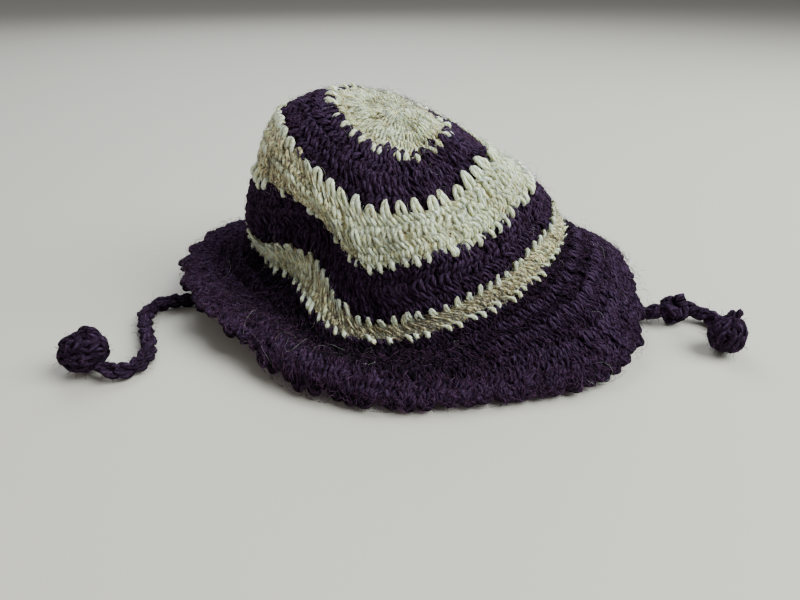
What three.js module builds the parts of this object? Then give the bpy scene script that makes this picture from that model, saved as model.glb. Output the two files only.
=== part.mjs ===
// Crocheted baby sun hat, lying slumped as it does when it is put down on a table.
// Millimetres, +Z up, the surface it lies on at z = 0, the viewer's side toward -Y, the origin at
// the middle of the hat's footprint.
// Two measures place a point of the cloth: the arc, which is the distance along the cloth from the
// middle of the crown, and the azimuth, in degrees round the hat from +X towards +Y.

import * as THREE from 'three';

const clothThickness = 4;
const seamGap = 0.4;
const layFlatBelow = 0.6;
const normalReach = 2.5;
const roundSteps = 80;

const discArc = 23;
const upperBandArc = 44;
const wideBandArc = 65;
const lowerBandArc = 86;
const crownArc = 96.5;
const brimArc = 133.5;
const edgeArc = 138;

// The middle of the circle that the brim's edge runs round.
const brimMiddle = { x: 3.3, y: -3.9 };

const scallopCount = 96;
const scallopSteps = 3;
const scallopDepth = 2.2;

const tieDiameter = 6;
const tieSides = 10;
const tieStep = 14;
const leftBallSize = { width: 20, depth: 19, height: 17.5 };
const rightBallSize = { width: 17, depth: 17, height: 16 };
const knotBore = 7.2;
const knotDiameter = 12.6;
const knotLength = 9;

const creamYarn = new THREE.MeshStandardMaterial({ color: 0xcfcba6, roughness: 0.95, metalness: 0 });
const plumYarn = new THREE.MeshStandardMaterial({ color: 0x3a2638, roughness: 0.95, metalness: 0 });

// Rings round the crown: centre, radius, and the rise of the ring per millimetre to +X and to +Y.
const crownRings = [
  { arc: 0, x: -4.2, y: -5.4, z: 76, radius: 0, leanX: -0.27, leanY: 0.5 },
  { arc: discArc, x: -7.2, y: -4.4, z: 71.5, radius: 22, leanX: -0.29, leanY: 0.27 },
  { arc: upperBandArc, x: -6.7, y: -1.9, z: 60.5, radius: 39.5, leanX: -0.15, leanY: 0.22 },
  { arc: wideBandArc, x: -3.7, y: -1.9, z: 44.5, radius: 50, leanX: 0.04, leanY: 0.18 },
  { arc: lowerBandArc, x: -4.2, y: 2.1, z: 28.5, radius: 56.5, leanX: 0.03, leanY: 0.17 },
  { arc: crownArc, x: -2.7, y: 4.1, z: 23, radius: 63.5, leanX: 0, leanY: 0.11 },
];

// Folds of the slumped crown: a bell-shaped push outwards and upwards, spread round the azimuth
// and reaching along the arc.
const crownFolds = [
  { name: 'front corner', azimuth: -80, spread: 14, arc: 68, reach: 13, out: 6, up: 8 },
  { name: 'front sag', azimuth: -105, spread: 26, arc: 63, reach: 20, out: -6, up: -10 },
  { name: 'dent beside the corner', azimuth: -135, spread: 15, arc: 76, reach: 11, out: -15, up: 8.5 },
  { name: 'left shoulder', azimuth: -162, spread: 24, arc: 68, reach: 26, out: 6, up: 15 },
  { name: 'foot of the corner', azimuth: -108, spread: 28, arc: 96, reach: 11, out: 4, up: -8 },
  { name: 'left end of the lower band', azimuth: -172, spread: 15, arc: 86, reach: 13, out: 5, up: -6 },
  { name: 'right swell', azimuth: -25, spread: 18, arc: 46, reach: 20, out: 1.5, up: 10.5 },
  { name: 'right end of the lower band', azimuth: 2, spread: 17, arc: 87, reach: 11, out: 8.5, up: 3.5 },
  { name: 'back right', azimuth: 52, spread: 23, arc: 88, reach: 20, out: 7, up: -4 },
  { name: 'back left', azimuth: 150, spread: 26, arc: 66, reach: 25, out: 0.5, up: 4 },
  { name: 'foot of the dent', azimuth: -150, spread: 20, arc: 97, reach: 9, out: -14, up: -9 },
];

// The ruffled brim: heights of its valley, shoulder, ridge and edge, and the radius of its edge.
const brimHeightStations = [0, 0.23, 0.5, 0.78, 1];
const brimRuffles = [
  { azimuth: -175, valley: 14, shoulder: 11, ridge: 15.5, edge: 15, radius: 99.5 },
  { azimuth: -155, valley: 9.5, shoulder: 9, ridge: 15, edge: 14, radius: 94 },
  { azimuth: -137, valley: 6, shoulder: 7, ridge: 12.5, edge: 9, radius: 87 },
  { azimuth: -120, valley: 4.5, shoulder: 6.5, ridge: 11.5, edge: 3, radius: 89 },
  { azimuth: -100, valley: 4.5, shoulder: 7, ridge: 9, edge: 1.5, radius: 89 },
  { azimuth: -72, valley: 8.5, shoulder: 9, ridge: 7, edge: 1.5, radius: 89.5 },
  { azimuth: -50, valley: 14, shoulder: 12.5, ridge: 7, edge: 2.5, radius: 98 },
  { azimuth: -38, valley: 17, shoulder: 14.5, ridge: 8.5, edge: 6, radius: 99.5 },
  { azimuth: -20, valley: 21.5, shoulder: 19, ridge: 13, edge: 10.5, radius: 94 },
  { azimuth: 0, valley: 24, shoulder: 21, ridge: 16.5, edge: 12, radius: 91.5 },
  { azimuth: 22, valley: 15.5, shoulder: 12, ridge: 8.5, edge: 6.5, radius: 98 },
  { azimuth: 50, valley: 19.5, shoulder: 9.5, ridge: 2, edge: 2, radius: 98 },
  { azimuth: 90, valley: 19, shoulder: 7.5, ridge: 1.8, edge: 2, radius: 98 },
  { azimuth: 125, valley: 19, shoulder: 10.5, ridge: 4, edge: 3, radius: 101 },
  { azimuth: 155, valley: 17.5, shoulder: 11.5, ridge: 12, edge: 11.5, radius: 102.5 },
];

// The ties' routes, from where each is sewn inside the crown's foot to its ball.
const leftTieRoute = [
  [-62.2, 1.1, 19.5], [-62.7, -0.4, 14.5], [-64.2, -2.9, 9.5], [-68.2, -6.9, 5.2], [-74.7, -12.4, 3.3],
  [-82.7, -17.9, 3.05], [-91.2, -21.9, 3.05], [-98.2, -23.5, 3.05], [-103.7, -26.4, 3.05], [-106, -31.9, 3.05],
  [-105, -38.4, 3.05], [-101.7, -46.4, 3.05], [-97.7, -54.9, 3.05], [-95.2, -62.9, 3.05],
  [-96.2, -69.4, 3.05], [-100.7, -73.9, 3.2], [-106.2, -74.3, 4.4],
];
const rightTieRoute = [
  [58.2, -11.5, 20.3], [58.8, -12.6, 15.5], [61.8, -15.4, 9.5], [66.8, -19.4, 5.2], [73.8, -24.4, 3.3],
  [81.3, -29.4, 3.05], [89.3, -33.5, 3.2], [94.8, -35.5, 4.4], [100.3, -36.2, 6.1], [105.6, -35.5, 6.5],
  [110.8, -34.6, 6.1], [115.3, -34.5, 4.4], [119.8, -36.7, 3.2], [122.6, -41.4, 3.05],
  [122.3, -46.4, 3.6], [120.7, -49.9, 4.8],
];
const leftBallPlace = [-115.1, -68.7];
const rightBallPlace = [116.4, -57];
const knotPlace = [105.6, -35.5, 6.5];
const knotHeading = 8.7;

const hat = new THREE.Group();

function bell(offset, spread) {
  return Math.exp(-0.5 * (offset / spread) ** 2);
}

function wrapDegrees(angle) {
  return ((((angle + 180) % 360) + 360) % 360) - 180;
}

// A smooth curve through (places[i], values[i]), read at one place.
function curveThrough(places, values, at) {
  const last = places.length - 1;
  let i = 0;
  while (i < last - 1 && at > places[i + 1]) i += 1;
  const slope = (k) => {
    const before = Math.max(k - 1, 0);
    const after = Math.min(k + 1, last);
    return (values[after] - values[before]) / (places[after] - places[before]);
  };
  const step = places[i + 1] - places[i];
  const t = (at - places[i]) / step;
  if (t > 1) return values[last] + slope(last) * (at - places[last]);
  const startWeight = 2 * t ** 3 - 3 * t ** 2 + 1;
  const bend = (t ** 3 - 2 * t ** 2 + t) * step * slope(i) + (t ** 3 - t ** 2) * step * slope(i + 1);
  return startWeight * values[i] + (1 - startWeight) * values[i + 1] + bend;
}

const ringArcs = crownRings.map((ring) => ring.arc);

function ringValue(key, arc) {
  return curveThrough(ringArcs, crownRings.map((ring) => ring[key]), arc);
}

function crownPoint(arc, azimuth) {
  let radius = ringValue('radius', arc);
  let rise = 0;
  for (const fold of crownFolds) {
    const weight = bell(wrapDegrees(azimuth - fold.azimuth), fold.spread) * bell(arc - fold.arc, fold.reach);
    radius += fold.out * weight;
    rise += fold.up * weight;
  }
  const angle = THREE.MathUtils.degToRad(azimuth);
  const x = radius * Math.cos(angle);
  const y = radius * Math.sin(angle);
  const z = ringValue('z', arc) + ringValue('leanX', arc) * x + ringValue('leanY', arc) * y + rise;
  return new THREE.Vector3(ringValue('x', arc) + x, ringValue('y', arc) + y, z);
}

// The ruffle table repeated once to each side, so that the curve closes round the hat.
const ruffleRound = [-360, 0, 360].flatMap((turn) =>
  brimRuffles.map((row) => ({ ...row, azimuth: row.azimuth + turn })));
const ruffleAzimuths = ruffleRound.map((row) => row.azimuth);

function ruffleValue(key, azimuth) {
  return curveThrough(ruffleAzimuths, ruffleRound.map((row) => row[key]), wrapDegrees(azimuth));
}

function brimPoint(arc, azimuth) {
  const out = (arc - crownArc) / (edgeArc - crownArc);
  const angle = THREE.MathUtils.degToRad(azimuth);
  const foot = crownPoint(crownArc, azimuth);
  const radius = ruffleValue('radius', azimuth);
  const edgeX = brimMiddle.x + radius * Math.cos(angle);
  const edgeY = brimMiddle.y + radius * Math.sin(angle);
  const edge = new THREE.Vector3(edgeX, edgeY, 0);
  const heights = [foot.z];
  for (const key of ['valley', 'shoulder', 'ridge', 'edge']) heights.push(ruffleValue(key, azimuth));
  const point = foot.clone().lerp(edge, out);
  point.z = curveThrough(brimHeightStations, heights, out);
  return point;
}

function clothPoint(arc, azimuth) {
  return arc > crownArc ? brimPoint(arc, azimuth) : crownPoint(arc, azimuth);
}

function clothNormal(arc, azimuth) {
  const inner = Math.max(arc - normalReach, 0.5);
  const along = clothPoint(arc + normalReach, azimuth).sub(clothPoint(inner, azimuth));
  const turn = 2;
  const round = clothPoint(arc, azimuth + turn).sub(clothPoint(arc, azimuth - turn));
  return along.cross(round).normalize();
}

// One face of the cloth: side 1 is the outer face, side -1 the inner one. Cloth that comes down to
// the surface lies flat on it.
function facePoint(arc, azimuth, side) {
  const point = clothPoint(arc, azimuth).addScaledVector(clothNormal(arc, azimuth), side * clothThickness / 2);
  if (point.z < layFlatBelow) point.z = 0;
  return point;
}

function solidFrom(points, triangles) {
  const geometry = new THREE.BufferGeometry();
  geometry.setAttribute('position', new THREE.Float32BufferAttribute(points.flatMap((p) => p.toArray()), 3));
  geometry.setIndex(triangles);
  geometry.computeVertexNormals();
  return geometry;
}

// Joins rings of equal length into a tube that closes on itself, its faces pointing outwards.
function closedRings(rings) {
  const count = rings[0].length;
  const triangles = [];
  rings.forEach((ring, r) => {
    const next = (r + 1) % rings.length;
    for (let i = 0; i < count; i += 1) {
      const j = (i + 1) % count;
      const [a, b] = [r * count + i, r * count + j];
      const [c, d] = [next * count + i, next * count + j];
      // The two rims that meet at a seam are split along the same diagonal.
      if (next === 0) triangles.push(a, c, d, a, d, b);
      else triangles.push(a, c, b, b, c, d);
    }
  });
  return solidFrom(rings.flat(), triangles);
}

function clothRing(arc, side) {
  const ring = [];
  for (let i = 0; i < roundSteps; i += 1) ring.push(facePoint(arc, (i * 360) / roundSteps, side));
  return ring;
}

function addPiece(name, geometry, yarn) {
  const mesh = new THREE.Mesh(geometry, yarn);
  mesh.name = name;
  hat.add(mesh);
  return mesh;
}

// A band of the cloth between two arcs, short of each by half the gap at the seam.
function clothBand(fromArc, toArc, arcSteps) {
  const start = fromArc + seamGap / 2;
  const end = toArc - seamGap / 2;
  const arcs = [];
  for (let i = 0; i <= arcSteps; i += 1) arcs.push(start + ((end - start) * i) / arcSteps);
  const outerFace = arcs.map((arc) => clothRing(arc, 1));
  const innerFace = arcs.map((arc) => clothRing(arc, -1)).reverse();
  return closedRings([...outerFace, ...innerFace]);
}

// The disc in the middle of the crown, whose two faces each close at a middle point.
function crownDisc() {
  const arcs = [6, 14, discArc - seamGap / 2];
  const rings = [...arcs.map((arc) => clothRing(arc, 1)), ...arcs.map((arc) => clothRing(arc, -1)).reverse()];
  const points = rings.flat();
  const middleOf = (ring) => {
    const middle = new THREE.Vector3();
    for (const point of ring) middle.add(point);
    return middle.divideScalar(ring.length);
  };
  const lift = crownPoint(0, 0).sub(middleOf([...rings[0], ...rings.at(-1)]));
  const triangles = [];
  for (let r = 0; r < rings.length - 1; r += 1) {
    for (let i = 0; i < roundSteps; i += 1) {
      const j = (i + 1) % roundSteps;
      const [a, b] = [r * roundSteps + i, r * roundSteps + j];
      const [c, d] = [a + roundSteps, b + roundSteps];
      triangles.push(a, c, b, b, c, d);
    }
  }
  const top = points.push(middleOf(rings[0]).addScaledVector(lift, 1)) - 1;
  const bottom = points.push(middleOf(rings.at(-1)).addScaledVector(lift, 1)) - 1;
  const lastRing = (rings.length - 1) * roundSteps;
  for (let i = 0; i < roundSteps; i += 1) {
    const j = (i + 1) % roundSteps;
    triangles.push(top, i, j, bottom, lastRing + j, lastRing + i);
  }
  return solidFrom(points, triangles);
}

// The crocheted edging: its inner side follows the brim, its outer side swings out in scallops.
function scallopedEdging() {
  const count = scallopCount * scallopSteps;
  const start = brimArc + seamGap / 2;
  const ringAt = (share, side) => {
    const ring = [];
    for (let i = 0; i < count; i += 1) {
      const swing = Math.sin((Math.PI * i) / scallopSteps) ** 2;
      const end = edgeArc - scallopDepth / 2 + scallopDepth * swing;
      ring.push(facePoint(start + (end - start) * share, (i * 360) / count, side));
    }
    return ring;
  };
  return closedRings([ringAt(0, 1), ringAt(1, 1), ringAt(1, -1), ringAt(0, -1)]);
}

function tieCord(route) {
  const path = new THREE.CatmullRomCurve3(route.map((p) => new THREE.Vector3(...p)), false, 'centripetal');
  const section = new THREE.Shape();
  for (let i = 0; i < tieSides; i += 1) {
    const angle = (2 * Math.PI * i) / tieSides;
    const x = (tieDiameter / 2) * Math.cos(angle);
    const y = (tieDiameter / 2) * Math.sin(angle);
    if (i === 0) section.moveTo(x, y);
    else section.lineTo(x, y);
  }
  const steps = Math.round(path.getLength() / (tieStep / 2));
  return new THREE.ExtrudeGeometry(section, { steps, extrudePath: path, curveSegments: 1 });
}

function tieBall(size, place) {
  const ball = new THREE.SphereGeometry(0.5, 16, 12);
  ball.scale(size.width, size.height, size.depth);
  ball.rotateX(Math.PI / 2);
  ball.translate(place[0], place[1], size.height / 2);
  return ball;
}

// The knot is a thick ring round the cord.
function tieKnot() {
  const middle = (knotBore + knotDiameter) / 4;
  const wall = (knotDiameter - knotBore) / 4;
  const profile = [];
  for (let i = 0; i <= 8; i += 1) {
    const angle = (2 * Math.PI * i) / 8;
    profile.push(new THREE.Vector2(middle + wall * Math.cos(angle), (knotLength / 2) * Math.sin(angle)));
  }
  const ring = new THREE.LatheGeometry(profile, 14);
  ring.rotateZ(-Math.PI / 2);
  ring.rotateZ(THREE.MathUtils.degToRad(knotHeading));
  ring.translate(...knotPlace);
  return ring;
}

addPiece('crown_disc', crownDisc(), creamYarn);
addPiece('crown_band_upper_plum', clothBand(discArc, upperBandArc, 3), plumYarn);
addPiece('crown_band_wide_cream', clothBand(upperBandArc, wideBandArc, 3), creamYarn);
addPiece('crown_band_lower_plum', clothBand(wideBandArc, lowerBandArc, 3), plumYarn);
addPiece('crown_band_narrow_cream', clothBand(lowerBandArc, crownArc, 2), creamYarn);
addPiece('brim', clothBand(crownArc, brimArc, 6), plumYarn);
addPiece('brim_edging', scallopedEdging(), plumYarn);
addPiece('tie_left', tieCord(leftTieRoute), plumYarn);
addPiece('tie_right', tieCord(rightTieRoute), plumYarn);
addPiece('tie_ball_left', tieBall(leftBallSize, leftBallPlace), plumYarn);
addPiece('tie_ball_right', tieBall(rightBallSize, rightBallPlace), plumYarn);
addPiece('tie_knot_right', tieKnot(), plumYarn);

export default hat;
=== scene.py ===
# The look of a crocheted baby sun hat with a ruffled brim and two ball-ended ties.
# Blender's metres, +Z up, in the frame of the CAD. The cloth and the stitches are written in
# millimetres, as a crochet pattern gives them, and mm turns them into metres.

import bmesh
import bpy
import numpy as np
from math import cos, pi, radians, sin
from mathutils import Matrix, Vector


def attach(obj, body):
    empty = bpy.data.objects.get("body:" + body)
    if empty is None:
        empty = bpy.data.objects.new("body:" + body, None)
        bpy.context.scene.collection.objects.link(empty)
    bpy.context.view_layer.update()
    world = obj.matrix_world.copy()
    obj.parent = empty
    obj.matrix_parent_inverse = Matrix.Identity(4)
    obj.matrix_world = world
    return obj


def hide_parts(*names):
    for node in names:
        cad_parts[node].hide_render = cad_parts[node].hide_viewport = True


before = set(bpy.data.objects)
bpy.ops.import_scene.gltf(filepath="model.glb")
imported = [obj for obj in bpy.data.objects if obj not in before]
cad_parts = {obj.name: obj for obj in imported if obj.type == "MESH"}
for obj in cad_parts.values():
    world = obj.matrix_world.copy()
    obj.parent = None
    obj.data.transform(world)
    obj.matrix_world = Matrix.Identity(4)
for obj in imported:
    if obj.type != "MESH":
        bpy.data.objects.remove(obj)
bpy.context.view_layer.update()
mm = 0.001
print("frame: loaded")


# Camera, floor and light

viewSettings = {
    "place": (-0.0037, -0.2439, 0.125),
    "pitchDown": 28.8,   # degrees below level
    "lens": 27.05,
    "sensor": 36,
    "floorSize": 24.0,
    "floorColor": (0.60, 0.565, 0.51, 1),
    "floorRoughness": 0.6,
    "skyColor": (0.90, 0.90, 0.92, 1),
    "skyStrength": 0.23,
    "lampTarget": (0, 0, 0.03),
}

lamps = [  # name, place, size, power, color
    ("keyLamp", (0.84, -0.18, 0.92), 1.0, 33, (0.93, 1.0, 0.98)),
    ("backLamp", (-0.25, 1.0, 1.1), 1.0, 14, (0.88, 0.95, 1.0)),
    ("fillLamp", (0.6, -1.2, 0.75), 1.2, 0.7, (1.0, 0.92, 0.84)),
    ("sideLamp", (-1.0, -0.55, 0.32), 1.0, 2.2, (1.0, 0.92, 0.82)),
]


def plainMaterial(name, color, roughness):
    material = bpy.data.materials.new(name)
    material.use_nodes = True
    shader = material.node_tree.nodes["Principled BSDF"]
    shader.inputs["Base Color"].default_value = color
    shader.inputs["Roughness"].default_value = roughness
    return material


def makeStage():
    cameraData = bpy.data.cameras.new("photoCamera")
    cameraData.lens = viewSettings["lens"]
    cameraData.sensor_width = viewSettings["sensor"]
    camera = bpy.data.objects.new("photoCamera", cameraData)
    camera.location = viewSettings["place"]
    camera.rotation_euler = (radians(90 - viewSettings["pitchDown"]), 0, 0)
    bpy.context.collection.objects.link(camera)
    bpy.context.scene.camera = camera
    bpy.ops.mesh.primitive_plane_add(size=viewSettings["floorSize"])
    floor = bpy.context.object
    floor.name = "floor"
    paleFloor = plainMaterial("paleFloor", viewSettings["floorColor"], viewSettings["floorRoughness"])
    floor.data.materials.append(paleFloor)
    for name, place, size, power, color in lamps:
        light = bpy.data.lights.new(name, "AREA")
        light.size = size
        light.energy = power
        light.color = color
        lamp = bpy.data.objects.new(name, light)
        lamp.location = place
        aim = Vector(viewSettings["lampTarget"]) - Vector(place)
        lamp.rotation_euler = aim.to_track_quat("-Z", "Y").to_euler()
        bpy.context.collection.objects.link(lamp)
    world = bpy.data.worlds.new("softRoom")
    world.use_nodes = True
    world.node_tree.nodes["Background"].inputs["Color"].default_value = viewSettings["skyColor"]
    world.node_tree.nodes["Background"].inputs["Strength"].default_value = viewSettings["skyStrength"]
    bpy.context.scene.world = world


makeStage()
print("stage: camera, floor and lamps")


# Yarn materials

# each yarn is pale where painted light falls on the crowns of its strands, deep in the painted shade down in
# the cloth, and middle between; its own unevenness also moves it between them
creamLook = {
    "pale": (0.86, 0.99, 0.76, 1),
    "middle": (0.84, 0.885, 0.515, 1),
    "deep": (0.59, 0.475, 0.29, 1),
    "soft": 0.5,         # light passes through the wool
    "sheen": 0.1,
    "gloss": 0.15,
    "bump": 1.0,
}
plumLook = {
    "pale": (0.056, 0.031, 0.070, 1),
    "middle": (0.0245, 0.0125, 0.0295, 1),
    "deep": (0.018, 0.0092, 0.0205, 1),
    "soft": 0.0,
    "sheen": 0.0,
    "gloss": 0.05,
    "bump": 1.0,
}
haloLook = {  # loose plum fibres look paler, since light shines through them
    "pale": (0.20, 0.088, 0.20, 1),
    "middle": (0.080, 0.030, 0.076, 1),
    "deep": (0.020, 0.007, 0.018, 1),
    "soft": 0.0,
    "sheen": 0.05,
    "gloss": 0.05,
    "bump": 0.1,
}
yarnPly = {
    "plies": 4,
    "turnEvery": 13.0,       # millimetres along the yarn
    "fibreScale": 1.5,
    "fibreStretch": 0.30,
    "fibreTurn": 0.35,
    "toneShift": 57,         # so that no two strands have the same fibres
    "mottleScale": 420,
    "crumbScale": 1300,
    "plyHeight": 0.6,
    "crumbHeight": 0.5,
    "streak": 2.3,           # how much the fibres, the mottle, the tone, the crumb and the plies
    "patch": 1.6,            # change the colour
    "tint": 0.45,
    "grain": 1.8,
    # painted shade and highlight on the plies: paler on their crowns, darker between them
    "ridge": 0.6,
    "ridgeMiddle": 0.65,
    "dim": 0.22,             # the darkest painted shade on the yarn, below the deep colour
    "dimColor": 0.7,
    "roughness": 0.9,
    "sheenRoughness": 0.45,
    "softRadius": (1.0, 0.9, 0.6),
    "softDepth": 1.2,
    "bumpDepth": 0.7,
}


def mathNode(tree, operation, first, second=None):
    node = tree.nodes.new("ShaderNodeMath")
    node.operation = operation
    for socket, value in zip(node.inputs, (first, second)):
        if isinstance(value, (int, float)):
            socket.default_value = value
        elif value is not None:
            tree.links.new(value, socket)
    return node.outputs[0]


def spreadNode(tree, value, middle, strength):  # how far the value is from the middle, made stronger
    return mathNode(tree, "MULTIPLY", mathNode(tree, "SUBTRACT", value, middle), strength)


def mixNode(tree, share, first, second):
    clamp = tree.nodes.new("ShaderNodeClamp")
    tree.links.new(share, clamp.inputs["Value"])
    mix = tree.nodes.new("ShaderNodeMix")
    mix.data_type = "RGBA"
    tree.links.new(clamp.outputs[0], mix.inputs["Factor"])
    tree.links.new(first, mix.inputs["A"])
    tree.links.new(second, mix.inputs["B"])
    return mix.outputs["Result"]


def noiseNode(tree, place, scale, detail, roughness):
    noise = tree.nodes.new("ShaderNodeTexNoise")
    noise.inputs["Scale"].default_value = scale
    noise.inputs["Detail"].default_value = detail
    noise.inputs["Roughness"].default_value = roughness
    tree.links.new(place, noise.inputs["Vector"])
    return noise.outputs["Fac"]


def attributeNode(tree, name):
    node = tree.nodes.new("ShaderNodeAttribute")
    node.attribute_name = name
    return node.outputs["Fac"]


def yarnGroup():
    group = bpy.data.node_groups.new("spunYarn", "ShaderNodeTree")
    for name in ("Pale", "Middle", "Deep"):
        group.interface.new_socket(name, in_out="INPUT", socket_type="NodeSocketColor")
    group.interface.new_socket("Color", in_out="OUTPUT", socket_type="NodeSocketColor")
    group.interface.new_socket("Height", in_out="OUTPUT", socket_type="NodeSocketFloat")
    colors = group.nodes.new("NodeGroupInput")
    result = group.nodes.new("NodeGroupOutput")
    uvMap = group.nodes.new("ShaderNodeUVMap")
    uvMap.uv_map = "UVMap"
    split = group.nodes.new("ShaderNodeSeparateXYZ")
    group.links.new(uvMap.outputs[0], split.inputs[0])
    along = split.outputs[0]
    turn = mathNode(group, "MULTIPLY", split.outputs[1], 2 * pi)
    tone = attributeNode(group, "tone")
    # the plies wind round the yarn
    wind = mathNode(group, "MULTIPLY", along, pi / yarnPly["turnEvery"] * yarnPly["plies"])
    ply = mathNode(group, "ADD", mathNode(group, "MULTIPLY", turn, yarnPly["plies"] / 2), wind)
    ply = mathNode(group, "ABSOLUTE", mathNode(group, "SINE", ply))
    # the fibres run along it, on a slow turn
    lean = mathNode(group, "ADD", turn, mathNode(group, "MULTIPLY", along, yarnPly["fibreTurn"]))
    stretch = mathNode(group, "MULTIPLY", along, yarnPly["fibreStretch"])
    place = group.nodes.new("ShaderNodeCombineXYZ")
    group.links.new(mathNode(group, "COSINE", lean), place.inputs[0])
    group.links.new(mathNode(group, "SINE", lean), place.inputs[1])
    shift = mathNode(group, "MULTIPLY", tone, yarnPly["toneShift"])
    group.links.new(mathNode(group, "ADD", stretch, shift), place.inputs[2])
    fibre = noiseNode(group, place.outputs[0], yarnPly["fibreScale"], 3, 0.65)
    # loose wool is uneven all over
    coordinates = group.nodes.new("ShaderNodeTexCoord")
    mottle = noiseNode(group, coordinates.outputs["Object"], yarnPly["mottleScale"], 3, 0.6)
    crumb = noiseNode(group, coordinates.outputs["Object"], yarnPly["crumbScale"], 2, 0.5)
    height = mathNode(group, "ADD", mathNode(group, "MULTIPLY", ply, yarnPly["plyHeight"]), fibre)
    height = mathNode(group, "ADD", height, mathNode(group, "MULTIPLY", crumb, yarnPly["crumbHeight"]))
    group.links.new(mathNode(group, "ADD", height, mottle), result.inputs["Height"])
    # painted shade and highlight: deep down in the cloth and between the plies, middle on most of it and pale
    # on the crowns of the yarn and its plies
    streak = spreadNode(group, fibre, 0.5, yarnPly["streak"])
    patch = spreadNode(group, mottle, 0.5, yarnPly["patch"])
    tint = spreadNode(group, tone, 0.5, yarnPly["tint"])
    grain = spreadNode(group, crumb, 0.5, yarnPly["grain"])
    ridge = spreadNode(group, ply, yarnPly["ridgeMiddle"], yarnPly["ridge"])
    share = mathNode(group, "ADD", attributeNode(group, "depth"), mathNode(group, "ADD", streak, patch))
    share = mathNode(group, "ADD", share, mathNode(group, "ADD", tint, mathNode(group, "ADD", grain, ridge)))
    # painted shade: where the light on the yarn is low, it goes darker still, below the deep colour
    dim = group.nodes.new("ShaderNodeHueSaturation")
    dim.inputs["Saturation"].default_value = yarnPly["dimColor"]
    dim.inputs["Value"].default_value = yarnPly["dim"]
    group.links.new(colors.outputs["Deep"], dim.inputs["Color"])
    lowest = mathNode(group, "ADD", mathNode(group, "MULTIPLY", share, 2), 1)
    lowest = mixNode(group, lowest, dim.outputs[0], colors.outputs["Deep"])
    lower = mixNode(group, mathNode(group, "MULTIPLY", share, 2), lowest, colors.outputs["Middle"])
    upper = mathNode(group, "SUBTRACT", mathNode(group, "MULTIPLY", share, 2), 1)
    group.links.new(mixNode(group, upper, lower, colors.outputs["Pale"]), result.inputs["Color"])
    return group


spunYarn = yarnGroup()


def yarnMaterial(name, look):
    material = bpy.data.materials.new(name)
    material.use_nodes = True
    tree = material.node_tree
    shader = tree.nodes["Principled BSDF"]
    shader.inputs["Roughness"].default_value = yarnPly["roughness"]
    shader.inputs["Specular IOR Level"].default_value = look["gloss"]
    shader.inputs["Sheen Weight"].default_value = look["sheen"]
    shader.inputs["Sheen Roughness"].default_value = yarnPly["sheenRoughness"]
    shader.inputs["Subsurface Weight"].default_value = look["soft"]
    shader.inputs["Subsurface Radius"].default_value = yarnPly["softRadius"]
    shader.inputs["Subsurface Scale"].default_value = yarnPly["softDepth"] * mm
    yarn = tree.nodes.new("ShaderNodeGroup")
    yarn.node_tree = spunYarn
    for color in ("pale", "middle", "deep"):
        yarn.inputs[color.capitalize()].default_value = look[color]
    bump = tree.nodes.new("ShaderNodeBump")
    bump.inputs["Strength"].default_value = look["bump"]
    bump.inputs["Distance"].default_value = yarnPly["bumpDepth"] * mm
    tree.links.new(yarn.outputs["Color"], shader.inputs["Base Color"])
    tree.links.new(yarn.outputs["Height"], bump.inputs["Height"])
    tree.links.new(bump.outputs["Normal"], shader.inputs["Normal"])
    return material


creamYarn = yarnMaterial("creamYarn", creamLook)
plumYarn = yarnMaterial("plumYarn", plumLook)
plumHalo = yarnMaterial("plumHalo", haloLook)
print("materials: cream and plum yarn, and the plum's halo")


# The shape of the cloth: arc is the distance along it from the middle of the crown, azimuth runs
# round the hat from +X towards +Y, and out is the distance from the middle of its thickness.

crownColumns = ("arc", "x", "y", "z", "radius", "leanX", "leanY")
crownRings = dict(zip(crownColumns, np.array([
    (0, -4.2, -5.4, 76, 0, -0.27, 0.5),
    (23, -7.2, -4.4, 71.5, 22, -0.29, 0.27),
    (44, -6.7, -1.9, 60.5, 39.5, -0.15, 0.22),
    (65, -3.7, -1.9, 44.5, 50, 0.04, 0.18),
    (86, -4.2, 2.1, 28.5, 56.5, 0.03, 0.17),
    (96.5, -2.7, 4.1, 23, 63.5, 0, 0.11),
]).T))

crownFolds = [  # azimuth, spread, arc, reach, out, up
    (-80, 14, 68, 13, 6, 8),        # front corner
    (-105, 26, 63, 20, -6, -10),    # front sag
    (-135, 15, 76, 11, -15, 8.5),   # dent beside the corner
    (-162, 24, 68, 26, 6, 15),      # left shoulder
    (-108, 28, 96, 11, 4, -8),      # foot of the corner
    (-172, 15, 86, 13, 5, -6),      # left end of the lower band
    (-25, 18, 46, 20, 1.5, 10.5),   # right swell
    (2, 17, 87, 11, 8.5, 3.5),      # right end of the lower band
    (52, 23, 88, 20, 7, -4),        # back right
    (150, 26, 66, 25, 0.5, 4),      # back left
    (-150, 20, 97, 9, -14, -9),     # foot of the dent
]

brimColumns = ("azimuth", "valley", "shoulder", "ridge", "edge", "radius")
brimRuffles = dict(zip(brimColumns, np.array([
    (-175, 14, 11, 15.5, 15, 99.5),
    (-155, 9.5, 9, 15, 14, 94),
    (-137, 6, 7, 12.5, 9, 87),
    (-120, 4.5, 6.5, 11.5, 3, 89),
    (-100, 4.5, 7, 9, 1.5, 89),
    (-72, 8.5, 9, 7, 1.5, 89.5),
    (-50, 14, 12.5, 7, 2.5, 98),
    (-38, 17, 14.5, 8.5, 6, 99.5),
    (-20, 21.5, 19, 13, 10.5, 94),
    (0, 24, 21, 16.5, 12, 91.5),
    (22, 15.5, 12, 8.5, 6.5, 98),
    (50, 19.5, 9.5, 2, 2, 98),
    (90, 19, 7.5, 1.8, 2, 98),
    (125, 19, 10.5, 4, 3, 101),
    (155, 17.5, 11.5, 12, 11.5, 102.5),
]).T))

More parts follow.
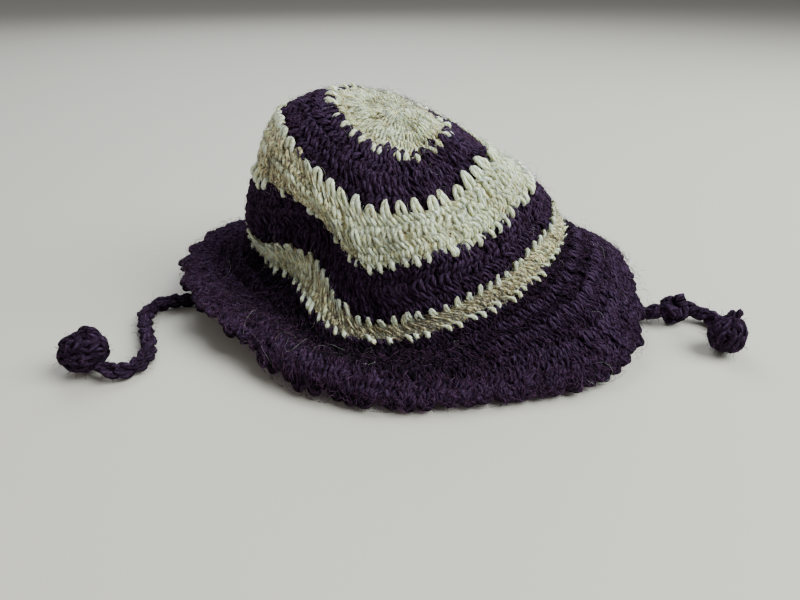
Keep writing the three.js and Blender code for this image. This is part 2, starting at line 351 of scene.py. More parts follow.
clothPlan = {
    "crownArc": 96.5,
    "edgeArc": 138.0,
    "brimMiddle": (3.3, -3.9),
    "heightStations": (0, 0.23, 0.5, 0.78, 1),
    "leastArc": 0.6,         # nothing lies nearer to the middle of the crown
    "normalReach": 2.5,      # the cloth's slope is measured over this arc and this turn
    "normalTurn": 2,
    "normalStart": 0.5,      # but from no nearer to the middle than this
    "face": 2.0,             # from the middle of the cloth to its outer face
    "floorGap": 0.12,
}


def curveThrough(places, values, at):  # a smooth curve through a table, read at many places
    places = np.asarray(places, float)
    values = np.asarray(values, float)
    last = len(places) - 1
    before = np.maximum(np.arange(last + 1) - 1, 0)
    after = np.minimum(np.arange(last + 1) + 1, last)
    slopes = ((values[after] - values[before]).T / (places[after] - places[before])).T
    i = np.clip(np.searchsorted(places, at, side="right") - 1, 0, last - 1)

    def pick(table, row):
        return table[row] if values.ndim == 1 else table[row, np.arange(len(at))]

    step = places[i + 1] - places[i]
    t = (at - places[i]) / step
    inside = np.minimum(t, 1)
    weight = 2 * inside ** 3 - 3 * inside ** 2 + 1
    bend = (inside ** 3 - 2 * inside ** 2 + inside) * step * pick(slopes, i)
    bend += (inside ** 3 - inside ** 2) * step * pick(slopes, i + 1)
    past = np.maximum(t - 1, 0) * step * pick(slopes, i + 1)
    return weight * pick(values, i) + (1 - weight) * pick(values, i + 1) + bend + past


def bell(offset, spread):
    return np.exp(-0.5 * (offset / spread) ** 2)


def wrapDegrees(angle):
    return (angle + 180) % 360 - 180


def rampUp(value, start, length):  # from 0 to 1
    return np.clip((value - start) / length, 0, 1)


def bellsRound(bells, azimuth):  # each bell: azimuth, spread, height; the highest one counts
    heights = [height * bell(wrapDegrees(azimuth - middle), spread) for middle, spread, height in bells]
    return np.max(heights, axis=0)


def crownPoint(arc, azimuth):
    at = {key: curveThrough(crownRings["arc"], crownRings[key], arc) for key in crownColumns[1:]}
    radius = at["radius"].copy()
    rise = np.zeros_like(radius)
    for middle, spread, foldArc, reach, out, up in crownFolds:
        weight = bell(wrapDegrees(azimuth - middle), spread) * bell(arc - foldArc, reach)
        radius += out * weight
        rise += up * weight
    x = radius * np.cos(np.radians(azimuth))
    y = radius * np.sin(np.radians(azimuth))
    z = at["z"] + at["leanX"] * x + at["leanY"] * y + rise
    return np.stack([at["x"] + x, at["y"] + y, z], -1)


def ruffleValue(key, azimuth):
    places = np.concatenate([brimRuffles["azimuth"] + turn for turn in (-360, 0, 360)])
    return curveThrough(places, np.tile(brimRuffles[key], 3), wrapDegrees(azimuth))


def brimPoint(arc, azimuth):
    crownArc = clothPlan["crownArc"]
    out = (arc - crownArc) / (clothPlan["edgeArc"] - crownArc)
    foot = crownPoint(np.full_like(arc, crownArc), azimuth)
    radius = ruffleValue("radius", azimuth)
    point = foot.copy()
    point[:, 0] += (clothPlan["brimMiddle"][0] + radius * np.cos(np.radians(azimuth)) - foot[:, 0]) * out
    point[:, 1] += (clothPlan["brimMiddle"][1] + radius * np.sin(np.radians(azimuth)) - foot[:, 1]) * out
    heights = np.stack([foot[:, 2]] + [ruffleValue(key, azimuth) for key in brimColumns[1:5]])
    point[:, 2] = curveThrough(clothPlan["heightStations"], heights, out)
    return point


def clothPoint(arc, azimuth):
    crownArc = clothPlan["crownArc"]
    crown = crownPoint(np.minimum(arc, crownArc), azimuth)
    brim = brimPoint(np.maximum(arc, crownArc), azimuth)
    return np.where((arc > crownArc)[:, None], brim, crown)


def clothPlace(arc, azimuth, out):  # millimetres in, metres out, and nothing below the floor
    arc = np.maximum(np.asarray(arc, float), clothPlan["leastArc"])
    arc, azimuth, out = np.broadcast_arrays(arc, np.asarray(azimuth, float), out)
    reach, turn = clothPlan["normalReach"], clothPlan["normalTurn"]
    inner = np.maximum(arc - reach, clothPlan["normalStart"])
    along = clothPoint(arc + reach, azimuth) - clothPoint(inner, azimuth)
    across = clothPoint(arc, azimuth + turn) - clothPoint(arc, azimuth - turn)
    normal = np.cross(along, across)
    normal /= np.linalg.norm(normal, axis=1, keepdims=True)
    place = clothPoint(arc, azimuth) + normal * np.asarray(out)[:, None]
    place[:, 2] = np.maximum(place[:, 2], clothPlan["floorGap"])
    return place * mm


# Yarn and stitches

rng = np.random.default_rng(27)

yarn = {
    "thickness": 1.75,
    "rings": 2,
    "lumps": 0.10,
    "strandShift": 0.6,      # shares of a stitch's wobble, for whole strands and for their points
    "pointShift": 0.5,
    "outShift": 0.7,
    "swell": (0.88, 1.12),
    "tone": (0.05, 0.95),
    "coreTone": 0.3,
    "middleSpan": (-10, 20),  # millimetres down a stitch, in which the middles of its strands lie
}

doubleCrochet = {
    "pitch": 4.9,
    "rowHeight": 10.5,
    "variants": 12,
    "insideVariants": 4,
    "insideThickness": 2.4,
    "wobble": 0.42,
    "notch": 0.0,            # only the edging is scalloped
    "twinOffset": 0.24,      # of two that start on the same stitch, as a part of it
    "tight": [(-160, 38, 0.5)],  # azimuth, spread and share by which loops are shorter there
    # the loop that reaches over the round before; each point: across, down, out, thickness
    "loop": [
        [(-0.9, 4.0, 0.6, 0.8), (-1.5, 1.2, 2.6, 1.0), (-1.5, -2.0, 2.6, 1.05), (-0.2, -5.2, 1.4, 1.1),
         (1.3, -2.6, 2.5, 1.1), (1.5, 0.6, 2.6, 1.0), (1.0, 3.6, 0.6, 0.8)],
    ],
    # the same where cream lies over plum: fat, closed and pointed
    "petal": [
        [(-0.7, 4.4, 1.2, 0.9), (-1.2, 1.4, 2.7, 1.05), (-1.0, -1.8, 3.0, 1.1), (-0.1, -5.6, 2.7, 0.75),
         (0.9, -2.2, 3.0, 1.1), (1.15, 1.0, 2.7, 1.05), (0.8, 4.2, 1.2, 0.9)],
    ],
    # and small, where the narrow band begins
    "bud": [
        [(-0.5, 2.6, 1.2, 0.7), (-0.7, 0.6, 2.6, 0.75), (-0.6, -1.8, 3.0, 0.8), (0.0, -5.0, 2.6, 0.95),
         (0.6, -2.0, 3.0, 0.8), (0.8, 0.4, 2.6, 0.75), (0.5, 2.4, 1.2, 0.7)],
    ],
    # the strands of the post and its top, which lean one way and then the other
    "post": [
        [(0.0, -3.4, 1.2, 0.9), (0.1, -1.6, 2.1, 1.1), (-0.1, 0.4, 2.1, 1.1), (0.0, 2.6, 1.0, 0.9)],
        [(-2.9, 0.6, 0.7, 0.9), (-2.2, 1.4, 2.7, 1.15), (-1.2, 3.4, 2.9, 1.15), (-0.6, 5.4, 0.9, 0.9)],
        [(-0.9, 1.6, 0.9, 0.9), (-0.2, 2.3, 3.1, 1.15), (0.6, 4.2, 3.1, 1.15), (1.1, 6.2, 0.9, 0.9)],
        [(1.2, 0.8, 0.7, 0.9), (1.8, 1.8, 2.8, 1.15), (2.4, 3.6, 2.8, 1.15), (2.7, 5.6, 0.8, 0.9)],
        [(-0.4, 4.0, 0.9, 0.9), (-1.0, 5.2, 2.9, 1.15), (-1.8, 6.9, 2.9, 1.15), (-2.4, 8.9, 0.8, 0.9)],
        [(1.3, 4.2, 0.9, 0.9), (0.8, 5.4, 3.0, 1.15), (0.1, 7.1, 3.0, 1.15), (-0.6, 9.2, 0.9, 0.9)],
        [(2.8, 4.4, 0.7, 0.9), (2.4, 5.6, 2.8, 1.15), (1.8, 7.3, 2.8, 1.15), (1.2, 9.4, 0.8, 0.9)],
        [(-2.7, 7.4, 0.7, 0.9), (-2.0, 8.6, 2.7, 1.15), (-1.0, 10.2, 2.4, 1.15), (-0.3, 11.6, 0.6, 0.9)],
        [(2.4, 7.6, 0.7, 0.9), (1.6, 8.8, 2.7, 1.15), (0.7, 10.3, 2.4, 1.15), (0.0, 11.6, 0.6, 0.9)],
    ],
    # the dot of cream that hangs over the plum below
    "dot": [
        [(2.2, 8.4, 2.0, 0.9), (2.3, 10.2, 3.7, 1.15), (2.5, 11.9, 4.0, 1.3), (2.6, 12.9, 2.2, 0.9)],
    ],
    "inside": [
        [(-1.2, -1.5, -0.6, 0.9), (-1.7, 3.0, -2.5, 1.0), (-1.0, 7.0, -2.3, 1.0), (-0.4, 9.8, -0.8, 0.8)],
        [(1.2, -1.3, -0.6, 0.9), (1.6, 3.0, -2.3, 1.0), (1.1, 7.0, -2.5, 1.0), (0.5, 9.8, -0.8, 0.8)],
        [(-2.9, 9.6, -0.9, 0.8), (-1.2, 8.8, -2.7, 1.0), (1.2, 9.4, -2.7, 1.0), (2.9, 9.6, -0.9, 0.8)],
    ],
}

edgeStitch = {
    "count": 96,
    "pitch": 6.5,
    "rowHeight": 4.5,
    "variants": 6,
    "wobble": 0.28,
    "firstArc": 133.8,
    "height": 3.3,
    "knobbly": [(165, 50, 2.4)],  # azimuth, spread and how much higher the stitches are there
    "rowPlan": (1.0, 0.0, 0.9),   # reach and lift of the loops, light on the posts
    "notch": 6.5,                 # between the scallops
    "scallop": 3,                 # stitches
    "scalloped": [(165, 45, 1.0), (14, 32, 0.8)],  # at the back left and at the right
    "loops": [
        [(-2.9, -1.4, 0.6, 0.9), (-3.0, 1.5, 1.9, 1.1), (-1.9, 4.2, 1.8, 1.25), (0.1, 4.9, 1.3, 1.35),
         (2.0, 4.2, 1.3, 1.25), (3.0, 1.4, 1.9, 1.1), (2.7, -1.4, 0.6, 0.9)],
        [(-2.8, -1.2, -0.6, 0.9), (-2.8, 1.0, -1.7, 1.0), (-1.3, 4.4, -1.2, 1.2), (1.5, 4.3, -0.8, 1.2),
         (2.8, 1.0, -1.7, 1.0), (2.6, -1.2, -0.6, 0.9)],
    ],
    "post": [
        [(-2.6, -2.4, 0.7, 0.9), (-2.3, -1.2, 2.5, 1.15), (-1.8, 0.8, 2.6, 1.15), (-1.2, 2.8, 0.9, 0.9)],
        [(-1.0, -2.8, 0.8, 0.9), (-0.9, -1.6, 2.8, 1.15), (-0.3, 0.4, 2.8, 1.15), (-0.4, 2.4, 0.9, 0.9)],
        [(1.2, -2.8, 0.8, 0.9), (1.0, -1.6, 2.8, 1.15), (0.7, 0.4, 2.8, 1.15), (0.5, 2.6, 0.9, 0.9)],
        [(2.6, -2.2, 0.7, 0.9), (2.4, -1.0, 2.5, 1.15), (1.9, 1.0, 2.5, 1.15), (1.4, 2.9, 0.9, 0.9)],
        [(-1.9, 1.0, 0.9, 0.9), (-1.3, 2.0, 2.3, 1.15), (-0.3, 3.0, 2.0, 1.15), (0.6, 3.8, 0.6, 0.9)],
        [(2.1, 0.8, 0.9, 0.9), (1.5, 1.9, 2.3, 1.15), (0.6, 2.8, 2.1, 1.15), (-0.2, 3.9, 0.6, 0.9)],
        [(-1.8, -2.0, -0.8, 0.9), (-1.4, -0.8, -2.5, 1.15), (-0.8, 1.4, -2.5, 1.15), (-0.4, 3.2, -0.8, 0.9)],
        [(1.8, -2.0, -0.8, 0.9), (1.4, -0.8, -2.5, 1.15), (0.9, 1.4, -2.5, 1.15), (0.5, 3.2, -0.8, 0.9)],
    ],
}


def strandMesh(points, thickness, sides, rings):  # one closed tube of yarn
    curve = bpy.data.curves.new("strand", "CURVE")
    curve.dimensions = "3D"
    curve.bevel_depth = thickness / 2
    curve.bevel_resolution = sides // 2 - 2
    curve.use_fill_caps = True
    spline = curve.splines.new("NURBS")
    spline.points.add(len(points) - 1)
    for point, (across, down, out, swell) in zip(spline.points, points):
        point.co = (across, down, out, 1)
        point.radius = swell
    spline.order_u = min(4, len(points))
    spline.use_endpoint_u = True
    spline.use_smooth = True
    spline.resolution_u = rings
    holder = bpy.data.objects.new("strand", curve)
    bpy.context.collection.objects.link(holder)
    mesh = bpy.data.meshes.new_from_object(holder)
    length = spline.calc_length()
    bpy.data.objects.remove(holder)
    bpy.data.curves.remove(curve)
    tube = bmesh.new()
    tube.from_mesh(mesh)
    bmesh.ops.remove_doubles(tube, verts=tube.verts, dist=0.001)
    uvLayer = tube.loops.layers.uv["UVMap"]
    for face in tube.faces:
        face.smooth = True
        for loop in face.loops:
            loop[uvLayer].uv.x *= length  # millimetres along the yarn
    for vert in tube.verts:
        vert.co += Vector(rng.normal(0, yarn["lumps"], 3))
    tube.to_mesh(mesh)
    tube.free()
    return mesh


def paintMesh(mesh, name, values):  # one number for each vertex, read by the yarn's material
    layer = mesh.attributes.get(name) or mesh.attributes.new(name, "FLOAT", "POINT")
    layer.data.foreach_set("value", np.clip(np.broadcast_to(values, len(mesh.vertices)), -1, 1))


def stitchMesh(strands, wobble, sides=6, thickness=yarn["thickness"], rings=yarn["rings"], thin=()):
    least, most = yarn["middleSpan"]
    joined = bmesh.new()
    for points in strands + list(thin):
        shift = rng.normal(0, wobble * yarn["strandShift"], 3)
        moved = []
        for across, down, out, swell in points:
            nudge = shift + rng.normal(0, wobble * yarn["pointShift"], 3)
            swell *= rng.uniform(*yarn["swell"])
            moved.append((across + nudge[0], down + nudge[1], out + nudge[2] * yarn["outShift"], swell))
        mesh = strandMesh(moved, thickness, 4 if points in thin else sides, rings)
        paintMesh(mesh, "tone", rng.uniform(*yarn["tone"]))
        paintMesh(mesh, "middle", (np.mean([point[1] for point in moved]) - least) / (most - least))
        joined.from_mesh(mesh)
        bpy.data.meshes.remove(mesh)
    stitch = bpy.data.meshes.new("stitch")
    joined.to_mesh(stitch)
    joined.free()
    return stitch


def joinStitches(name, picks):  # many as one mesh, with each vertex's place, stitch and strand's middle
    joined = bmesh.new()
    for pick in picks:
        joined.from_mesh(pick)
    mesh = bpy.data.meshes.new(name)
    joined.to_mesh(mesh)
    joined.free()
    local = np.empty(len(mesh.vertices) * 3)
    mesh.vertices.foreach_get("co", local)
    which = np.repeat(np.arange(len(picks)), [len(pick.vertices) for pick in picks])
    middles = np.empty(len(mesh.vertices))
    mesh.attributes["middle"].data.foreach_get("value", middles)
    mesh.attributes.remove(mesh.attributes["middle"])
    least, most = yarn["middleSpan"]
    return mesh, local.reshape(-1, 3), which, middles * (most - least) + least


def addPiece(name, mesh, material, *nodes):
    mesh.name = name
    mesh.materials.clear()
    mesh.materials.append(material)
    piece = bpy.data.objects.new(name, mesh)
    bpy.context.collection.objects.link(piece)
    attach(piece, "root")
    if nodes:
        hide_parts(*nodes)
    return piece


# The ties: chains of plum yarn that lie on the floor. The left one ends in a ball, and the right
# one passes through a knot before it reaches its ball.

chainStitch = {
    "pitch": 5.2,
    "variants": 6,
    "wobble": 0.30,
    "thickness": 2.3,
    "core": 3.4,
    "coreGap": 0.4,          # from the ends of the tie
    "gap": 0.3,
    "bulk": 1.15,
    "swing": (0.5, 11),      # how far the chain turns on itself, and how soon it turns back
    "twist": 0.25,           # from one stitch to the next
    # painted shade: the yarn is darker near the middle of the chain and paler further out
    "paleFrom": 1.2,
    "paleReach": 3.2,
    # each strand: across, along, out, thickness
    "strands": [
        [(0.3, -3.4, 0.4, 0.8), (-1.6, -1.6, 1.5, 1.15), (-2.0, 0.9, 1.1, 1.15), (-0.9, 3.2, -0.4, 0.8)],
        [(-0.2, -3.2, 0.6, 0.8), (1.5, -1.3, 1.6, 1.15), (2.0, 1.1, 0.9, 1.15), (1.0, 3.3, -0.5, 0.8)],
        [(1.2, -2.4, -0.6, 0.8), (1.0, -0.8, -2.0, 1.15), (-0.8, 1.2, -2.1, 1.15), (-1.2, 3.0, -0.5, 0.8)],
        [(-1.3, -2.0, -0.4, 0.8), (-1.4, 0.2, -1.8, 1.1), (0.6, 1.8, -2.0, 1.1), (1.4, 3.6, -0.4, 0.8)],
    ],
}

leftTie = {
    "name": "tie_left",
    "length": 117.5,
    "roll": 0.4,
    "route": [
        (-62.2, 1.1, 19.5), (-62.7, -0.4, 14.5), (-64.2, -2.9, 9.5), (-68.2, -6.9, 5.2), (-74.7, -12.4, 3.3),
        (-82.7, -17.9, 3.05), (-91.2, -21.9, 3.05), (-98.2, -23.5, 3.05), (-103.7, -26.4, 3.05),
        (-106, -31.9, 3.05), (-105, -38.4, 3.05), (-101.7, -46.4, 3.05), (-97.7, -54.9, 3.05),
        (-95.2, -62.9, 3.05), (-96.2, -69.4, 3.05), (-100.7, -73.9, 3.2), (-106.2, -74.3, 4.4),
    ],
}
rightTie = {
    "name": "tie_right",
    "length": 94.1,
    "roll": 2.1,
    "route": [
        (58.2, -11.5, 20.3), (58.8, -12.6, 15.5), (61.8, -15.4, 9.5), (66.8, -19.4, 5.2), (73.8, -24.4, 3.3),
        (81.3, -29.4, 3.05), (89.3, -33.5, 3.2), (94.8, -35.5, 4.4), (100.3, -36.2, 6.1),
        (105.6, -35.5, 6.5), (110.8, -34.6, 6.1), (115.3, -34.5, 4.4), (119.8, -36.7, 3.2),
        (122.6, -41.4, 3.05), (122.3, -46.4, 3.6), (120.7, -49.9, 4.8),
    ],
}
tieKnot = {
    "middle": (105.6, -35.5, 6.7),
    "heading": 8.7,
    "lean": 0.5,
    "turn": 70,
    "lobe": 1.22,
    "depth": 1.5,
    "roll": 0.9,
    "gap": 0.25,             # between its two ends, as a part of the turn
    "points": 17,
}

ballStitch = {
    "pitch": 4.4,
    "rowHeight": 3.4,
    "variants": 6,
    "wobble": 0.36,
    "thickness": 2.1,
    "wall": 1.3,             # from the ball's size to the middle of its stitches
    "core": -0.6,
    "knobTone": (0.2, 0.8),
    "knobPale": 0.2,
    "strands": [
        [(0.0, 2.8, 0.2, 0.8), (-0.9, 1.2, 1.3, 1.1), (-1.8, -1.0, 1.3, 1.1), (-1.2, -2.8, 0.2, 0.8)],
        [(0.2, 2.8, 0.2, 0.8), (0.9, 1.0, 1.4, 1.1), (1.7, -1.2, 1.2, 1.1), (1.1, -3.0, 0.2, 0.8)],
        [(-2.0, -1.8, 0.2, 0.8), (-0.7, -2.6, 1.2, 1.0), (0.8, -2.4, 1.3, 1.0), (2.1, -1.6, 0.2, 0.8)],
    ],
}
leftBall = {
    "name": "tie_ball_left",
    "middle": (-114.1, -68.7, 7.9),
    "size": (14.0, 14.4, 12.0),
    # painted shade and highlight: how much paler the outer parts of its stitches are
    "pale": 0.125,
    "tilt": (-8, 78),
    "bumps": [  # place on the ball, spread, height
        ((5.4, 0.0, 3.8), 2.6, 1.4),
        ((1.5, 0.5, 5.2), 3.6, 1.4),
        ((-5.5, 1.0, -0.5), 3.0, 1.2),
    ],
    # ends and turns of yarn on it, from its middle: x, y, z, thickness
    "knobs": [
        [(2.0, 0.2, 4.8, 1.1), (2.4, 1.2, 7.8, 1.5), (3.8, 1.8, 9.2, 1.5), (5.4, 1.8, 6.6, 1.1)],
        [(-0.8, 1.0, 4.8, 1.1), (0.0, 2.0, 7.8, 1.5), (1.6, 2.6, 9.4, 1.5), (3.0, 2.4, 6.6, 1.1)],
        [(3.6, 1.2, 4.0, 1.0), (6.4, 0.9, 6.0, 1.6), (8.4, 0.3, 4.4, 1.6), (7.8, -0.4, 1.4, 1.1)],
        [(9.0, -6.0, -3.6, 1.5), (7.0, -5.0, -3.4, 1.8), (5.2, -3.8, -3.2, 1.8), (3.6, -2.6, -2.6, 1.2)],
    ],
}
rightBall = {
    "name": "tie_ball_right",
    "middle": (116.3, -56.6, 7.5),
    "size": (11.4, 12.2, 12.2),
    # painted shade and highlight: how much paler the outer parts of its stitches are
    "pale": 0.19,
    "tilt": (-14, 20),
    "bumps": [
        ((1.6, 0.6, 5.6), 2.2, 1.0),
        ((5.0, 2.0, 1.4), 2.2, 1.0),
        ((-4.2, -2.6, 1.5), 2.6, 0.8),
    ],
    "knobs": [
        [(-0.2, 0.6, 4.6, 1.0), (0.1, 1.2, 7.4, 1.3), (0.8, 1.8, 9.2, 1.35), (1.4, 2.2, 7.4, 1.0)],
        [(1.8, 0.8, 4.6, 1.0), (2.5, 1.4, 7.6, 1.3), (3.4, 2.0, 9.5, 1.35), (4.2, 2.2, 7.2, 1.0)],
        [(5.0, 7.6, -2.8, 1.5), (3.8, 5.8, -2.4, 1.8), (2.6, 4.2, -2.0, 1.8), (1.6, 2.8, -1.6, 1.2)],
    ],
}


class smoothPath:  # a curve through points, with a side and an upper direction carried along it

    def __init__(self, points):
        points = np.array(points, float)
        run = np.concatenate([[0], np.cumsum(np.linalg.norm(np.diff(points, axis=0), axis=1))])
        fine = np.linspace(0, run[-1], 40 * len(points))
        track = np.stack([curveThrough(run, points[:, k], fine) for k in range(3)], -1)
        self.run = np.concatenate([[0], np.cumsum(np.linalg.norm(np.diff(track, axis=0), axis=1))])
        self.track = track
        heading = np.gradient(track, self.run, axis=0)
        self.heading = heading / np.linalg.norm(heading, axis=1, keepdims=True)
        upper = np.cross(self.heading[0], (0, 1, 0))
        uppers = []
        for direction in self.heading:
            upper = upper - direction * (upper @ direction)
            upper = upper / np.linalg.norm(upper)
            uppers.append(upper)
        self.upper = np.array(uppers)
        self.side = np.cross(self.heading, self.upper)
        self.length = self.run[-1]

    def place(self, along, across, out):
        def at(table):
            return np.stack([np.interp(along, self.run, table[:, k]) for k in range(3)], -1)
        return at(self.track) + at(self.side) * across[:, None] + at(self.upper) * out[:, None]


def toFloor(places):  # millimetres in, metres out
    places = places.copy()
    places[:, 2] = np.maximum(places[:, 2], clothPlan["floorGap"])
    return places * mm


def chainMesh(name, points, roll, plan=chainStitch):  # a crocheted chain along a path
    path = smoothPath(points)
    count = max(round(path.length / plan["pitch"]), 2)
    chosen = [chainStitches[k] for k in rng.integers(len(chainStitches), size=count)]
    stops = np.linspace(plan["coreGap"], path.length - plan["coreGap"], count)
    core = strandMesh([(0, stop, 0, 1) for stop in stops], plan["core"], 6, 2)
    paintMesh(core, "tone", yarn["coreTone"])
    mesh, local, which = joinStitches(name, chosen + [core])[:3]
    step = path.length / count
    inChain = which < count
    along = np.where(inChain, (which + 0.5) * step + local[:, 1], local[:, 1])
    along = np.clip(along, plan["gap"], path.length - plan["gap"])
    swing, swingEvery = plan["swing"]
    twist = rng.normal(0, plan["twist"], count + 1)[which] * inChain
    twist = roll + swing * np.sin(along / swingEvery) + twist
    across = (local[:, 0] * np.cos(twist) - local[:, 2] * np.sin(twist)) * plan["bulk"]
    out = (local[:, 0] * np.sin(twist) + local[:, 2] * np.cos(twist)) * plan["bulk"]
    mesh.vertices.foreach_set("co", toFloor(path.place(along, across, out)).ravel())
    # painted shade: deep near the chain's middle and paler further out
    outward = np.hypot(local[:, 0], local[:, 2]) - plan["paleFrom"]
    paintMesh(mesh, "depth", np.maximum(outward, 0) / plan["paleReach"])
    return mesh, path


def ballMesh(name, ball, plan=ballStitch):  # rounds of short stitches over a lumpy ball
    half = np.array(ball["size"]) / 2 - plan["wall"]
    rowCount = max(round(pi * half.mean() / plan["rowHeight"]), 3)
    picks, latitude, share, widen = [], [], [], []
    for row in range(rowCount):
        low = pi * (row + 0.5) / rowCount
        around = max(round(2 * pi * half[:2].mean() * sin(low) / plan["pitch"]), 4)
        for k in range(around):
            picks.append(ballStitches[rng.integers(len(ballStitches))])
            latitude.append(low)
            share.append(2 * pi * (k + 0.5 * row) / around)
            widen.append(2 * pi / around / plan["pitch"])
    core = bmesh.new()
    bmesh.ops.create_icosphere(core, subdivisions=3, radius=1)
    mesh = bpy.data.meshes.new("core")
    core.to_mesh(mesh)
    core.free()
    paintMesh(mesh, "tone", yarn["coreTone"])
    count = len(picks)
    knobs = [strandMesh(points, plan["thickness"], 6, 3) for points in ball["knobs"]]
    for knob in knobs:
        paintMesh(knob, "tone", rng.uniform(*plan["knobTone"]))
    mesh, local, which = joinStitches(name, picks + [mesh] + knobs)[:3]
    inCore = which == count
    inKnob = which > count
    rest = [0.0] * (len(knobs) + 1)
    latitude, share, widen = (np.array(values + rest) for values in (latitude, share, widen))
    down = latitude[which] + local[:, 1] / plan["rowHeight"] * pi / rowCount
    turn = share[which] + local[:, 0] * widen[which]
    direction = np.stack([np.sin(down) * np.cos(turn), np.sin(down) * np.sin(turn), np.cos(down)], -1)
    direction[inCore] = local[inCore]
    tiltX, tiltY = (radians(angle) for angle in ball["tilt"])
    tilt = np.array([(1, 0, 0), (0, cos(tiltX), -sin(tiltX)), (0, sin(tiltX), cos(tiltX))])
    tilt = tilt @ np.array([(cos(tiltY), 0, sin(tiltY)), (0, 1, 0), (-sin(tiltY), 0, cos(tiltY))])
    direction = direction @ tilt.T
    spread = np.where(inCore, plan["core"], local[:, 2])
    place = direction * (half + spread[:, None])
    for bump, width, height in ball["bumps"]:
        near = bell(np.linalg.norm(direction * half - np.array(bump), axis=1), width)
        place += direction * near[:, None] * height
    place[inKnob] = local[inKnob]
    mesh.vertices.foreach_set("co", toFloor(place + np.array(ball["middle"])).ravel())
    # painted shade: the core and the yarn deep in the ball are darker, its stitches paler further out, and
    # the knobs all at one paleness
    depth = np.where(inCore, 0, np.maximum(spread, 0) * ball["pale"])
    paintMesh(mesh, "depth", np.where(inKnob, plan["knobPale"], depth))
    return mesh


def knotRoute(knot):  # three lobes, pulled close
    heading = radians(knot["heading"])
    ahead = Vector((cos(heading), sin(heading), 0))
    upper = Vector((0, knot["lean"], 1)).normalized()
    through = ahead.cross(upper)
    turn = radians(knot["turn"])
    route = []
    for t in np.linspace(knot["gap"], 2 * pi - knot["gap"], knot["points"]):
        across = sin(t) + 2 * sin(2 * t)
        up = 2 * cos(2 * t) - cos(t)
        across, up = across * cos(turn) - up * sin(turn), across * sin(turn) + up * cos(turn)
        place = Vector(knot["middle"]) + (ahead * across + upper * up) * knot["lobe"]
        route.append(tuple(place + through * sin(3 * t) * knot["depth"]))
    return route


chainStitches = [stitchMesh(chainStitch["strands"], chainStitch["wobble"], thickness=chainStitch["thickness"])
                 for i in range(chainStitch["variants"])]
ballStitches = [stitchMesh(ballStitch["strands"], ballStitch["wobble"], 6, ballStitch["thickness"], 3)
                for i in range(ballStitch["variants"])]


def layTie(tie, *endPieces):
    mesh, path = chainMesh(tie["name"], tie["route"], tie["roll"])
    piece = addPiece(tie["name"] + "_chain", mesh, plumYarn, tie["name"])
    print(tie["name"], "is", round(path.length, 1), "mm long")


leftEnd = addPiece("ball_left", ballMesh("ball_left", leftBall), plumYarn, leftBall["name"])
rightEnd = addPiece("ball_right", ballMesh("ball_right", rightBall), plumYarn, rightBall["name"])
knotChain = chainMesh("knot", knotRoute(tieKnot), tieKnot["roll"])[0]
knotPiece = addPiece("knot_right", knotChain, plumYarn, "tie_knot_right")
print("balls and knot made")
layTie(leftTie, leftEnd)
layTie(rightTie, rightEnd, knotPiece)


# The rounds of crochet. Each stitch starts on a stitch of the round before, and its top has an
# even share of its own round, so that stitches fan out where the cloth widens.

rounds = [  # node, first arc, height, stitches, yarn, reach and lift of the loops, light on the posts
    ("crown_disc", 4.6, 9.2, 16, creamYarn, 1.0, 0.5, 0.8),
    ("crown_disc", 13.8, 9.2, 32, creamYarn, 0.9, 1.0, 0.8),
    ("crown_band_upper_plum", 23, 10.5, 36, plumYarn, 0.7, 0.2, 1.0),
    ("crown_band_upper_plum", 33.5, 10.5, 48, plumYarn, 0.8, 0.3, 1.0),
    ("crown_band_wide_cream", 44, 10.5, 50, creamYarn, 0.85, 0.6, 1.0),
    ("crown_band_wide_cream", 54.5, 10.5, 70, creamYarn, 0.8, 0.3, 1.0),
    ("crown_band_lower_plum", 65, 10.5, 76, plumYarn, 0.3, -1.0, 1.0),
    ("crown_band_lower_plum", 75.5, 10.5, 80, plumYarn, 0.8, 0.3, 1.0),
    ("crown_band_narrow_cream", 86, 10.5, 84, creamYarn, 0.6, 0.5, 0.0),
    ("brim", 96.5, 9.4, 94, plumYarn, 0.3, -1.0, 0.5),
    ("brim", 105.9, 9.4, 104, plumYarn, 0.8, 0.3, 0.55),
    ("brim", 115.3, 9.4, 112, plumYarn, 0.8, 0.3, 0.75),
    ("brim", 124.7, 9.4, 118, plumYarn, 0.8, 0.3, 0.95),
]


class roundMap:  # how far round the hat each azimuth lies at one arc, on the outer face

    def __init__(self, arc, count):
        self.count = count
        self.azimuths = np.arange(-540, 541, 1.5)  # three times round
        ring = clothPlace(arc, self.azimuths, np.full(len(self.azimuths), clothPlan["face"])) / mm
        run = np.concatenate([[0], np.cumsum(np.linalg.norm(np.diff(ring, axis=0), axis=1))])
        self.shares = run / run[-1] * 3 - 1.5

    def azimuth(self, share):
        return np.interp(share, self.shares, self.azimuths)

    def share(self, azimuth):
        return np.interp(azimuth, self.azimuths, self.shares)


def stitchBases(own, parent):  # where on the round before each stitch of this one starts
    tops = (np.arange(own.count) + 0.5) / own.count
    if parent is None:
        return tops, tops
    homes = np.floor(np.arange(own.count) * parent.count / own.count)
    twins = np.concatenate([[False], homes[1:] == homes[:-1]])
    paired = twins | np.concatenate([twins[1:], [False]])
    offset = np.where(paired, np.where(twins, 1, -1) * doubleCrochet["twinOffset"], 0)
    baseAzimuths = parent.azimuth((homes + 0.5 + offset) / parent.count)
    return own.share(baseAzimuths), tops


